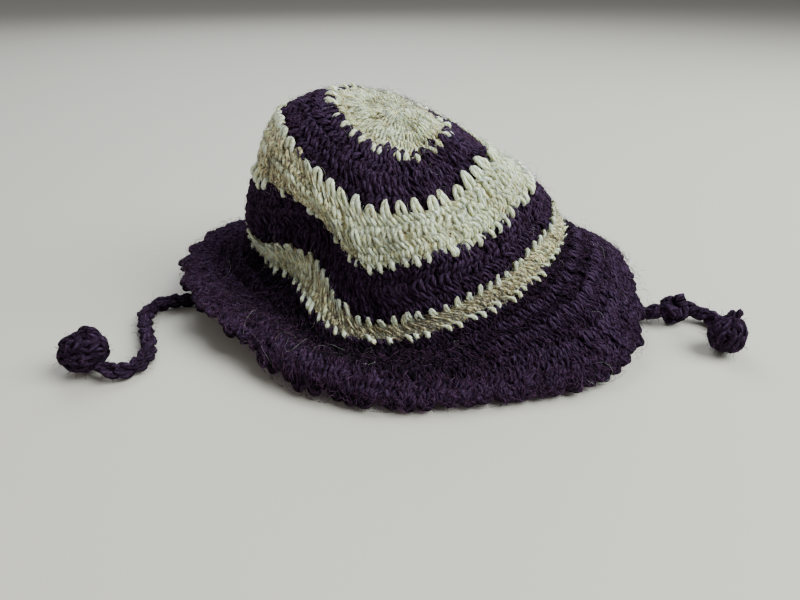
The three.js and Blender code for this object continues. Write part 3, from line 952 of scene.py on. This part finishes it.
rimShading = {  # painted shade and highlight on the rolled front of the brim
    "crest": 131,            # the arc at which it stands highest
    "further": [(-150, 14, 5), (-84, 11, 3)],  # azimuth, spread and how much further out it is there
    "shadeMiddle": -115,
    "shadeReach": 49,
    "shadeEdge": 6,
    "trough": 0.45,          # shade: 0 is none and 1 is full
    "darker": 0.45,
    "darkerAt": 8,           # from the middle of the shade, and its spread
    "darkerSpread": 24,
    "troughSlope": (2, 5),   # where it begins, and over how much it grows
    "troughFoot": (98, 4),
    # painted shade on the outer face below the crest
    "below": 0.9,
    "belowSlope": (1.5, 3),
    "crestHighlight": 0.45,         # painted highlight on the crest itself
    "crestHighlightSpread": 2,
}


def rimCrest(azimuth):
    crest = rimShading["crest"]
    for middle, spread, further in rimShading["further"]:
        crest = crest + further * bell(wrapDegrees(azimuth - middle), spread)
    return crest


def frontShade(arc, azimuth):  # painted shade: the front of the brim is dark in its trough and below its crest, with a painted highlight on the crest
    plan = rimShading
    crest = rimCrest(azimuth)
    side = wrapDegrees(azimuth - plan["shadeMiddle"])
    trough = plan["trough"] + plan["darker"] * bell(side - plan["darkerAt"], plan["darkerSpread"])
    trough *= rampUp(crest - arc, *plan["troughSlope"]) * rampUp(arc, *plan["troughFoot"])
    below = plan["below"] * rampUp(arc - crest, *plan["belowSlope"])
    crestHighlight = plan["crestHighlight"] * bell(arc - crest, plan["crestHighlightSpread"])
    return (trough + below - crestHighlight) / (1 + (side / plan["shadeReach"]) ** plan["shadeEdge"])


handWork = {  # how uneven the stitches are, and how they follow the cloth
    "slant": 0.10,
    "puff": 0.08,
    "stretch": 0.2,
    "stretchRange": (0.5, 1.3),
    "lift": 0.2,
    "sink": 0.35,
    "face": 2.5,             # where the stretch of the cloth is measured, from its middle
    "slack": 1.25,           # where it is stretched more, strands keep their length
    "shortest": 0.4,
    "drawnOver": 4,          # the loops follow how far the round before is drawn out here
    "drawnRange": (0.7, 2.5),
    "loopMiddle": 1,         # the middles of the post's strands lie further down the stitch
    "shadeSpan": (0.5, 10),  # strands with their middles here take their band's own light
    # painted shade: yarn nearer the middle of the cloth is darker and paler further out, and darker still
    # where its light is low
    "paleFrom": 0.8,
    "paleReach": 3,
    "dark": 0.55,
    "raised": (-2, 6),       # from 2 mm down the stitch upwards its loop lifts, over 6 mm
    "drop": 1.1,             # how far the outer strands are pulled into the cloth
    "dropOver": (-0.5, 2),
    "notchOver": 4,
}


def clothStretch(own, shares, start, fromStep, toStep):  # how far the cloth is drawn out between two steps
    out = np.full(own.count, handWork["face"])
    places = [clothPlace(start + step, own.azimuth(shares), out) for step in (fromStep, toStep)]
    return np.linalg.norm(places[1] - places[0], axis=1) / (toStep - fromStep) / mm


def crochetRound(local, which, middles, own, parent, start, height, reach, loopLift, shade, plan):
    hand = handWork
    count = own.count
    height = np.broadcast_to(height, count)
    slant = rng.normal(0, hand["slant"], count)[which]
    puff = rng.normal(1, hand["puff"], count)[which]
    stretch = rng.normal(1, hand["stretch"], count).clip(*hand["stretchRange"])
    lift = rng.normal(0, hand["lift"], count)[which]
    sink = rng.normal(0, hand["sink"], count)[which]
    bases, tops = stitchBases(own, parent)
    taut = clothStretch(own, tops, start, 0, height)
    short = (hand["slack"] / taut).clip(hand["shortest"], 1)[which]
    inPost = middles > hand["loopMiddle"]
    down = np.where(inPost, middles + (local[:, 1] - middles) * short, local[:, 1])
    down = np.where(~inPost & (down > 0), down * short, down) / plan["rowHeight"]
    drawn = clothStretch(own, bases, start, -hand["drawnOver"], 0).clip(*hand["drawnRange"])
    stretch *= 1 - bellsRound(doubleCrochet["tight"], own.azimuth(bases))
    arc = start + np.where(down < 0, down * reach * (stretch / drawn)[which], down) * height[which] + sink
    blend = np.clip(down, 0, 1)
    share = bases[which] * (1 - blend) + tops[which] * blend
    share = share + (local[:, 0] + slant * local[:, 1]) / plan["pitch"] / count
    out = local[:, 2] * puff + lift * np.sign(local[:, 2])
    azimuth = own.azimuth(share)
    between = 1 - np.abs(np.sin(pi * share * count / edgeStitch["scallop"]))
    notch = plan["notch"] * bellsRound(edgeStitch["scalloped"], azimuth) * between
    arc = arc - notch * rampUp(arc, start, hand["notchOver"])
    # painted light and shade: each band's light on its posts, the painted shade on the front of the brim, and
    # yarn paler the further out it lies
    shaded = (middles > hand["shadeSpan"][0]) & (middles < hand["shadeSpan"][1])
    light = np.where(shaded, np.broadcast_to(shade, count)[which], 1) * (1 - frontShade(arc, azimuth))
    depth = np.maximum(np.abs(out) - hand["paleFrom"], 0) / hand["paleReach"]
    depth = depth * light - hand["dark"] * (1 - light)
    raised = np.broadcast_to(loopLift, count)[which] * rampUp(-local[:, 1], *hand["raised"])
    out = out + raised * (local[:, 2] > 0)
    out = out - hand["drop"] * rampUp(out, *hand["dropOver"])
    return clothPlace(arc, azimuth, out), depth


def layRounds(name, rows, plan, material, *nodes):
    picks, spans = [], []
    for row in rows:
        variants, own = row[:2]
        spans.append((len(picks), len(picks) + own.count))
        picks += [variants[k] for k in rng.integers(len(variants), size=own.count)]
    mesh, local, which, middles = joinStitches(name, picks)
    place = np.empty_like(local)
    depth = np.empty(len(local))
    for (first, last), (variants, *row) in zip(spans, rows):
        here = (which >= first) & (which < last)
        place[here], depth[here] = crochetRound(local[here], which[here] - first, middles[here], *row, plan)
    mesh.vertices.foreach_set("co", place.ravel())
    paintMesh(mesh, "depth", depth)
    return addPiece(name, mesh, material, *nodes)


backing = {
    "rowEvery": 3.5,
    "columns": 96,
    "out": 0.4,
    "thickness": 1.8,
    "merge": 0.02,
    "tone": 0.4,
    "plum": (0.5, 0.3),      # how far it reaches past its band, and how pale it is: the painted shade seen in the gaps between the stitches
    "cream": (-0.7, 0.6),
}


def backingMesh(fromArc, toArc, depth):  # a thin layer in the middle of the cloth, closed round its rims
    sheet = bmesh.new()
    rows = max(round((toArc - fromArc) / backing["rowEvery"]), 2)
    bmesh.ops.create_grid(sheet, x_segments=backing["columns"], y_segments=rows, size=0.5)
    grid = np.array([vert.co[:] for vert in sheet.verts])
    arcs = fromArc + (grid[:, 1] + 0.5) * (toArc - fromArc)
    for vert, place in zip(sheet.verts, clothPlace(arcs, grid[:, 0] * 360, backing["out"])):
        vert.co = place
    bmesh.ops.remove_doubles(sheet, verts=sheet.verts, dist=backing["merge"] * mm)
    bmesh.ops.recalc_face_normals(sheet, faces=sheet.faces)
    bmesh.ops.solidify(sheet, geom=sheet.faces[:], thickness=backing["thickness"] * mm)
    bmesh.ops.recalc_face_normals(sheet, faces=sheet.faces)
    for vert in sheet.verts:
        vert.co.z = max(vert.co.z, clothPlan["floorGap"] * mm)
    mesh = bpy.data.meshes.new("backing")
    sheet.to_mesh(mesh)
    sheet.free()
    paintMesh(mesh, "tone", backing["tone"])
    paintMesh(mesh, "depth", depth)
    return mesh


def crochetStitches(kind, strands):
    return [stitchMesh(doubleCrochet[kind], doubleCrochet["wobble"], thin=strands)
            for i in range(doubleCrochet["variants"])]


posts = doubleCrochet["post"]
loopStitches = crochetStitches("loop", posts)
petalStitches = crochetStitches("petal", posts)
dottedStitches = {kind: crochetStitches(kind, posts + doubleCrochet["dot"]) for kind in ("loop", "bud")}
insideStitches = [stitchMesh(doubleCrochet["inside"], doubleCrochet["wobble"], sides=4, rings=1,
                             thickness=doubleCrochet["insideThickness"])
                  for i in range(doubleCrochet["insideVariants"])]
edgeStitches = [stitchMesh(edgeStitch["loops"], edgeStitch["wobble"], thin=edgeStitch["post"])
                for i in range(edgeStitch["variants"])]
print("stitches:", len(loopStitches[0].polygons), "faces each,", len(insideStitches[0].polygons), "inside")

bandChanges = {  # azimuth, spread and size of each change in a band's light or its loops' lift
    "narrowCream": [(-155, 32, 1.0), (-12, 36, 0.55)],  # lit in the dent at the left, and at the right
    "wideCream": [(-152, 25, 0.55)],  # turned away from the light above the dent
    "crownTop": [(90, 45, 2.6)],      # its loops lie flatter at the back, where it is the skyline
}

nodeRows = {}
parent = None
for number, (node, start, height, count, material, reach, loopLift, shade) in enumerate(rounds):
    own = roundMap(start + height, count)
    over = rounds[number - 1][4] if number else material
    under = rounds[(number + 1) % len(rounds)][4]
    plain = over is material or node.startswith(("brim", "crown_band_lower"))
    variants = loopStitches if plain else petalStitches
    if material is creamYarn and under is plumYarn:
        variants = dottedStitches["loop" if over is material else "bud"]
    azimuths = own.azimuth((np.arange(count) + 0.5) / count)
    if node == "crown_band_narrow_cream":
        shade = bellsRound(bandChanges["narrowCream"], azimuths)
    elif node == "crown_band_wide_cream":
        shade = shade - bellsRound(bandChanges["wideCream"], azimuths)
    elif node in ("crown_disc", "crown_band_upper_plum") and over is creamYarn:
        loopLift = loopLift - bellsRound(bandChanges["crownTop"], azimuths)
    row = (variants, own, parent, start, height, reach, loopLift, shade)
    nodeRows.setdefault((node, material), []).append(row)
    parent = own

for (node, material), group in nodeRows.items():
    for first in range(0, len(group), 2):
        part = group[first:first + 2]
        label = node if len(group) <= 2 else node + "_" + str(first // 2 + 1)
        layRounds(label + "_stitches", part, doubleCrochet, material, node)
        inside = [(insideStitches, *row[1:]) for row in part]
        layRounds(label + "_wrong_side", inside, doubleCrochet, material, node)
    spare, depth = backing["plum" if material is plumYarn else "cream"]
    fromArc = clothPlan["leastArc"] if node == "crown_disc" else group[0][3] - spare
    toArc = group[-1][3] + group[-1][4] + spare
    addPiece(node + "_core", backingMesh(fromArc, toArc, depth), material, node)
    print(node, "crocheted:", sum(row[1].count for row in group), "stitches")

edgeMap = roundMap(clothPlan["edgeArc"], edgeStitch["count"])
edgeAzimuths = edgeMap.azimuth((np.arange(edgeMap.count) + 0.5) / edgeMap.count)
edgeHeights = edgeStitch["height"] + bellsRound(edgeStitch["knobbly"], edgeAzimuths)
edgeRow = (edgeStitches, edgeMap, None, edgeStitch["firstArc"], edgeHeights, *edgeStitch["rowPlan"])
layRounds("edging_stitches", [edgeRow], edgeStitch, plumYarn, "brim_edging")
print("edging crocheted:", edgeMap.count, "stitches")

# Loose fibres. Each starts in the yarn, wanders over it and curls.

fuzz = {  # depth is how pale the fibres are, on the yarn's scale of painted light and shade
    "curls": {"count": 4200, "knots": 5, "length": (4, 9), "rise": 1.4, "curl": 1.0, "thickness": 0.075,
              "depth": 0.35},
    "nap": {"count": 5200, "knots": 3, "length": (1.5, 3.2), "rise": 0.6, "curl": 0.5, "thickness": 0.12,
            "depth": 0.3},
    "rim": {"count": 1400, "knots": 3, "length": (2, 4), "rise": 0.9, "curl": 0.7, "thickness": 0.12,
            "depth": 0.2, "arcs": (129, 139), "azimuths": (-175, -45)},
    "cream": {"count": 4600, "knots": 3, "length": (1.5, 3.4), "rise": 0.6, "curl": 0.6, "thickness": 0.11,
              "depth": 0.9},
    "creamCurls": {"count": 1200, "knots": 5, "length": (4, 8), "rise": 0.8, "curl": 1.2, "thickness": 0.10,
                   "depth": 0.8},
    "stray": {"count": 40, "knots": 9, "length": (8, 18), "rise": 3, "curl": 1.5, "thickness": 0.05,
              "depth": 1.0},
    "ends": {"count": 1500, "knots": 3, "length": (1.5, 3.5), "rise": 0.7, "curl": 0.6, "thickness": 0.11,
             "depth": 0.2},
}
fibrePlan = {
    "uneven": 0.35,          # in depth, from one fibre to the next
    "merge": 0.0005,
    "edgeArcs": (133.5, 138.5),
    "middleShare": 8,        # fibres start more often further out, where the hat is wider
    "coiling": 3,
    "arcs": (1, 139),
    "radii": (6, 85),
    "out": 1.8,
    "arch": 0.7,             # how much of a half wave a fibre rises through
    "waver": 0.2,
    "shade": 1.2,
    "tieStart": 8,           # millimetres along the tie
    "tieRadius": 3.1,
    "endRise": 0.5,
    "endDrift": 1.8,
}


def fibreTubes(name, paths, thickness, depth):  # fine closed tubes of three sides
    section = bpy.data.curves.new("section", "CURVE")
    corner = section.splines.new("POLY")
    corner.points.add(2)
    for point, angle in zip(corner.points, (0, 2 * pi / 3, 4 * pi / 3)):
        point.co = (cos(angle) * thickness * mm / 2, sin(angle) * thickness * mm / 2, 0, 1)
    corner.use_cyclic_u = True
    sectionHolder = bpy.data.objects.new("section", section)
    curve = bpy.data.curves.new(name, "CURVE")
    curve.dimensions = "3D"
    curve.bevel_mode = "OBJECT"
    curve.bevel_object = sectionHolder
    curve.use_fill_caps = True
    for path in paths:
        spline = curve.splines.new("POLY")
        spline.points.add(len(path) - 1)
        spline.points.foreach_set("co", np.c_[path, np.ones(len(path))].ravel())
        spline.use_smooth = True
    holder = bpy.data.objects.new(name, curve)
    bpy.context.collection.objects.link(holder)
    bpy.context.collection.objects.link(sectionHolder)
    mesh = bpy.data.meshes.new_from_object(holder.evaluated_get(bpy.context.evaluated_depsgraph_get()))
    for leftover in (holder, sectionHolder):
        data = leftover.data
        bpy.data.objects.remove(leftover)
        bpy.data.curves.remove(data)
    merged = bmesh.new()
    merged.from_mesh(mesh)
    bmesh.ops.remove_doubles(merged, verts=merged.verts, dist=fibrePlan["merge"] * mm)
    bmesh.ops.recalc_face_normals(merged, faces=merged.faces)
    merged.to_mesh(mesh)
    merged.free()
    paintMesh(mesh, "tone", rng.uniform(0, 1, len(mesh.vertices)))
    depth = depth + rng.uniform(-fibrePlan["uneven"], fibrePlan["uneven"], len(paths))
    paintMesh(mesh, "depth", np.repeat(depth, len(mesh.vertices) // len(paths)))
    return mesh


def hatFibres(plan, material):
    arcs = np.concatenate([np.arange(start + 0.5, start + height, 1.0)
                           for node, start, height, stitches, look, *loops in rounds if look is material])
    if material is plumYarn:
        arcs = np.append(arcs, np.arange(*fibrePlan["edgeArcs"], 1.0))
    if "arcs" in plan:
        arcs = np.arange(*plan["arcs"], 1.0)
    count, knots = plan["count"], plan["knots"]
    often = arcs + fibrePlan["middleShare"]
    arc = rng.choice(arcs, size=count, p=often / often.sum()) + rng.uniform(-1, 1, count)
    azimuth = rng.uniform(*plan.get("azimuths", (-180, 180)), count)
    heading = rng.uniform(0, 2 * pi, count)
    bend = rng.normal(0, plan["curl"], count)
    step = rng.uniform(*plan["length"], count) / (knots - 1)
    rise = np.abs(rng.normal(0, plan["rise"], count))
    places = []
    for k in range(knots):
        part = k / (knots - 1)
        angle = heading + bend * part * fibrePlan["coiling"]
        if k:
            arc = np.clip(arc + np.cos(angle) * step, *fibrePlan["arcs"])
            azimuth = azimuth + np.degrees(np.sin(angle) * step / np.clip(arc, *fibrePlan["radii"]))
        waver = rng.normal(0, fibrePlan["waver"], count)
        out = fibrePlan["out"] + rise * sin(pi * fibrePlan["arch"] * part) + waver
        places.append(clothPlace(arc, azimuth, out))
    # painted shade: fibres on the front of the brim are darker, as its yarn is
    return np.stack(places, 1), plan["depth"] - fibrePlan["shade"] * frontShade(arc, azimuth)


def endFibres(plan, ball, path):  # on a ball and its tie
    paths = []
    for k in range(plan["count"] // 2):
        outward = Vector(rng.normal(0, 1, 3)).normalized()
        if k % 2:
            half = Vector(ball["size"]) / 2
            root = Vector(ball["middle"]) + Vector([a * b for a, b in zip(outward, half)])
        else:
            along = rng.uniform(fibrePlan["tieStart"], path.length)
            track = np.array([np.interp(along, path.run, path.track[:, i]) for i in range(3)])
            root = Vector(track) + outward * fibrePlan["tieRadius"]
        drift = Vector(rng.normal(0, 1, 3)).normalized() * rng.uniform(*plan["length"]) / 2
        tip = root + outward * abs(rng.normal(0, plan["rise"]))
        middle = root + drift + outward * fibrePlan["endRise"]
        paths.append([root, middle, tip + drift * fibrePlan["endDrift"]])
    places = np.array([list(point) for fibre in paths for point in fibre])
    return toFloor(places).reshape(-1, 3, 3), np.full(len(paths), plan["depth"])


hatFuzz = [
    ("fuzz_plum_curls", "curls", plumYarn, plumHalo),
    ("fuzz_plum_nap", "nap", plumYarn, plumHalo),
    ("fuzz_plum_rim", "rim", plumYarn, plumHalo),
    ("fuzz_cream_nap", "cream", creamYarn, creamYarn),
    ("fuzz_cream_curls", "creamCurls", creamYarn, creamYarn),
    ("fuzz_cream_strays", "stray", plumYarn, creamYarn),
]
for name, kind, ground, material in hatFuzz:
    paths, depth = hatFibres(fuzz[kind], ground)
    addPiece(name, fibreTubes(name, paths, fuzz[kind]["thickness"], depth), material)
for name, ball, tie in (("fuzz_left_end", leftBall, leftTie), ("fuzz_right_end", rightBall, rightTie)):
    paths, depth = endFibres(fuzz["ends"], ball, smoothPath(tie["route"]))
    addPiece(name, fibreTubes(name, paths, fuzz["ends"]["thickness"], depth), plumHalo)
print("fuzz laid")
